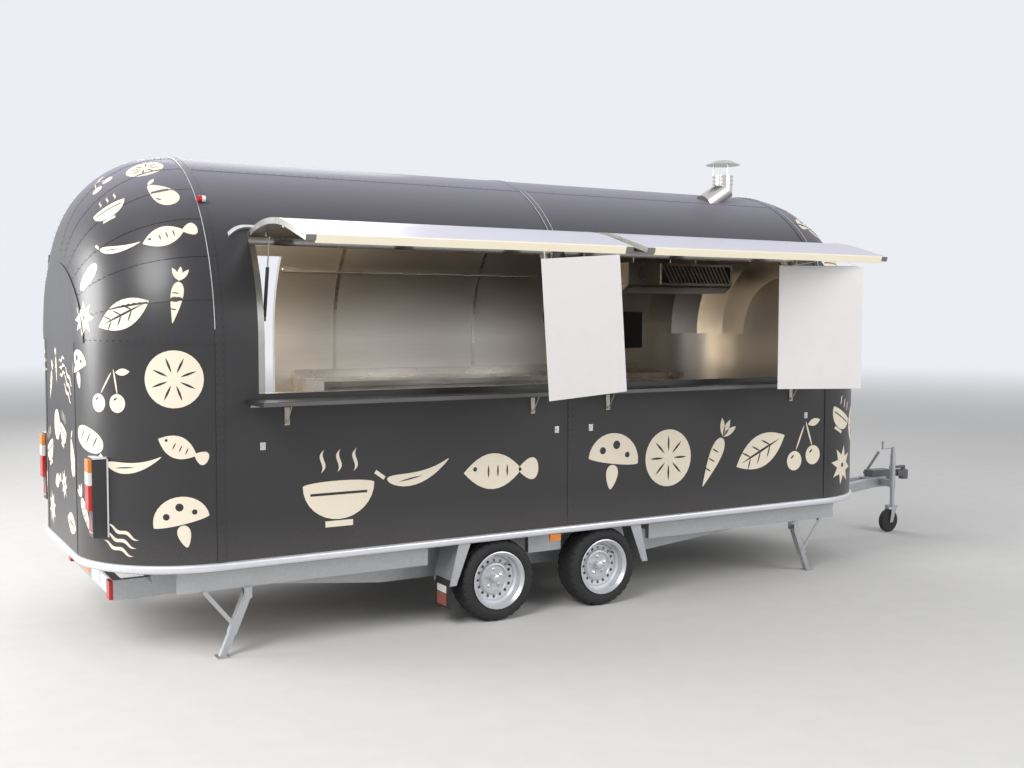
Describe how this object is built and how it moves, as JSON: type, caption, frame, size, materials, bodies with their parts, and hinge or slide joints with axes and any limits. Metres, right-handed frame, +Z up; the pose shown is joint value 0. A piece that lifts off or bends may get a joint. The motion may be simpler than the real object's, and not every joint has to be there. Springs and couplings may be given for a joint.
{
  "type": "food trailer",
  "caption": "Round-ended street-food trailer on a tandem axle, with lapped end domes, lifting serving hatches, folding counters, a rear-side entrance door, prop legs and a jockey wheel.",
  "frame": {"origin": "on the ground, midway between the two axles, on the centre plane", "axes": "+X forward to the drawbar, +Y to the far side with the entrance door, +Z up"},
  "size_m": [7.43, 3.4154, 3.115],
  "materials": {
    "body_paint": "satin",
    "hatch_metal": "satin",
    "edge_trim": "satin",
    "galvanised": "matt",
    "coupling_metal": "satin",
    "inner_steel": "brushed",
    "chimney_steel": "satin",
    "hinge_steel": "satin",
    "floor_board": "matt",
    "counter_black": "satin",
    "screen_black": "gloss",
    "lamp_red": "gloss",
    "strut_black": "gloss",
    "flap_rubber": "matt",
    "tyre": "matt",
    "rim_silver": "gloss"
  },
  "bodies": {
    "trailer": {"floor_deck": "floor_board", "base_trim": "edge_trim", "wheel_boxes": "galvanised", "end_walls": "body_paint", "wall_service": "body_paint", "wall_far": "body_paint", "roof_shoulders": "body_paint", "roof_crown": "body_paint", "end_domes": "body_paint", "end_plates": "body_paint", "seam_strips": "body_paint", "opening_frame": "inner_steel", "chassis_rails": "galvanised", "side_beams": "galvanised", "cross_members": "galvanised", "rear_bar": "galvanised", "drawbar": "galvanised", "coupling": "coupling_metal", "axles": "galvanised", "mudguards": "galvanised", "mud_flaps": "flap_rubber", "lamp_boxes": "body_paint", "lamps": "lamp_red", "chimney": "chimney_steel", "worktops": "inner_steel", "appliances": "inner_steel", "range_hood": "inner_steel", "wall_rail": "inner_steel", "screen": "screen_black", "bracket_plates": "hinge_steel", "prop_legs": "galvanised", "leg_stays": "galvanised", "jockey_tube": "galvanised"},
    "hatch_rear": {"hatch_rear": "hatch_metal"},
    "strut_tubes_rear": {"strut_tubes_rear": "strut_black"},
    "strut_rods_rear": {"strut_rods_rear": "hinge_steel"},
    "counter_rear": {"counter_rear": "counter_black"},
    "bracket_arms_rear": {"bracket_arms_rear": "hinge_steel"},
    "hatch_front": {"hatch_front": "hatch_metal"},
    "strut_tubes_front": {"strut_tubes_front": "strut_black"},
    "strut_rods_front": {"strut_rods_front": "hinge_steel"},
    "counter_front": {"counter_front": "counter_black"},
    "bracket_arms_front": {"bracket_arms_front": "hinge_steel"},
    "door": {"door": "body_paint"},
    "wheel_rear_near": {"tyre_rear_near": "tyre", "wheel_rear_near": "rim_silver"},
    "wheel_rear_far": {"tyre_rear_far": "tyre", "wheel_rear_far": "rim_silver"},
    "wheel_front_near": {"tyre_front_near": "tyre", "wheel_front_near": "rim_silver"},
    "wheel_front_far": {"tyre_front_far": "tyre", "wheel_front_far": "rim_silver"},
    "jockey_column": {"jockey_column": "galvanised"},
    "jockey_fork": {"jockey_fork": "galvanised"},
    "jockey_wheel": {"jockey_wheel": "flap_rubber"}
  },
  "joints": [
    {"name": "hatch_rear_hinge", "type": "hinge", "parent": "trailer", "child": "hatch_rear", "pos_m": [-0.9375, -0.93681, 2.40189], "axis": [1, 0, 0], "range_deg": [0, 74]},
    {"name": "strut_rear_pivot", "type": "hinge", "parent": "trailer", "child": "strut_tubes_rear", "pos_m": [-0.9375, -0.985, 1.9], "axis": [1, 0, 0], "range_deg": [-20.12, 0]},
    {"name": "strut_rear_stroke", "type": "slide", "parent": "strut_tubes_rear", "child": "strut_rods_rear", "axis": [0, -0.213, 0.977], "range_m": [-0.11992, 0]},
    {"name": "counter_rear_hinge", "type": "hinge", "parent": "trailer", "child": "counter_rear", "pos_m": [-0.9375, -1.135, 1.429], "axis": [1, 0, 0], "range_deg": [0, 90]},
    {"name": "bracket_rear_pivot", "type": "hinge", "parent": "trailer", "child": "bracket_arms_rear", "pos_m": [-0.9375, -1.132, 1.325], "axis": [1, 0, 0], "range_deg": [0, 144.74]},
    {"name": "hatch_front_hinge", "type": "hinge", "parent": "trailer", "child": "hatch_front", "pos_m": [1.1825, -0.93681, 2.40189], "axis": [1, 0, 0], "range_deg": [0, 74]},
    {"name": "strut_front_pivot", "type": "hinge", "parent": "trailer", "child": "strut_tubes_front", "pos_m": [1.1825, -0.985, 1.9], "axis": [1, 0, 0], "range_deg": [-20.12, 0]},
    {"name": "strut_front_stroke", "type": "slide", "parent": "strut_tubes_front", "child": "strut_rods_front", "axis": [0, -0.213, 0.977], "range_m": [-0.11992, 0]},
    {"name": "counter_front_hinge", "type": "hinge", "parent": "trailer", "child": "counter_front", "pos_m": [1.1825, -1.135, 1.429], "axis": [1, 0, 0], "range_deg": [0, 90]},
    {"name": "bracket_front_pivot", "type": "hinge", "parent": "trailer", "child": "bracket_arms_front", "pos_m": [1.1825, -1.132, 1.325], "axis": [1, 0, 0], "range_deg": [0, 144.74]},
    {"name": "door_hinge", "type": "hinge", "parent": "trailer", "child": "door", "pos_m": [-1.9, 1.135, 1.18], "axis": [0, 0, 1], "range_deg": [-165, 0]},
    {"name": "wheel_rear_near_spin", "type": "hinge", "parent": "trailer", "child": "wheel_rear_near", "pos_m": [-0.4, -1.012, 0.2625], "axis": [0, 1, 0], "continuous": true},
    {"name": "wheel_rear_far_spin", "type": "hinge", "parent": "trailer", "child": "wheel_rear_far", "pos_m": [-0.4, 1.012, 0.2625], "axis": [0, 1, 0], "continuous": true},
    {"name": "wheel_front_near_spin", "type": "hinge", "parent": "trailer", "child": "wheel_front_near", "pos_m": [0.4, -1.012, 0.2625], "axis": [0, 1, 0], "continuous": true},
    {"name": "wheel_front_far_spin", "type": "hinge", "parent": "trailer", "child": "wheel_front_far", "pos_m": [0.4, 1.012, 0.2625], "axis": [0, 1, 0], "continuous": true},
    {"name": "jockey_lift", "type": "slide", "parent": "trailer", "child": "jockey_column", "axis": [0, 0, 1], "range_m": [-0.03, 0.145]},
    {"name": "jockey_swivel", "type": "hinge", "parent": "jockey_column", "child": "jockey_fork", "pos_m": [4.2, -0.19, 0.23], "axis": [0, 0, 1], "continuous": true},
    {"name": "jockey_wheel_spin", "type": "hinge", "parent": "jockey_fork", "child": "jockey_wheel", "pos_m": [4.155, -0.19, 0.1], "axis": [0, 1, 0], "continuous": true}
  ],
  "couplings": [
    {"joint": "strut_rear_pivot", "follows": "hatch_rear_hinge", "ratio": -0.27173},
    {"joint": "strut_rear_stroke", "follows": "hatch_rear_hinge", "m_per_rad": -0.09277},
    {"joint": "bracket_rear_pivot", "follows": "counter_rear_hinge", "ratio": 1.6076},
    {"joint": "strut_front_pivot", "follows": "hatch_front_hinge", "ratio": -0.27173},
    {"joint": "strut_front_stroke", "follows": "hatch_front_hinge", "m_per_rad": -0.09277},
    {"joint": "bracket_front_pivot", "follows": "counter_front_hinge", "ratio": 1.6076}
  ]
}
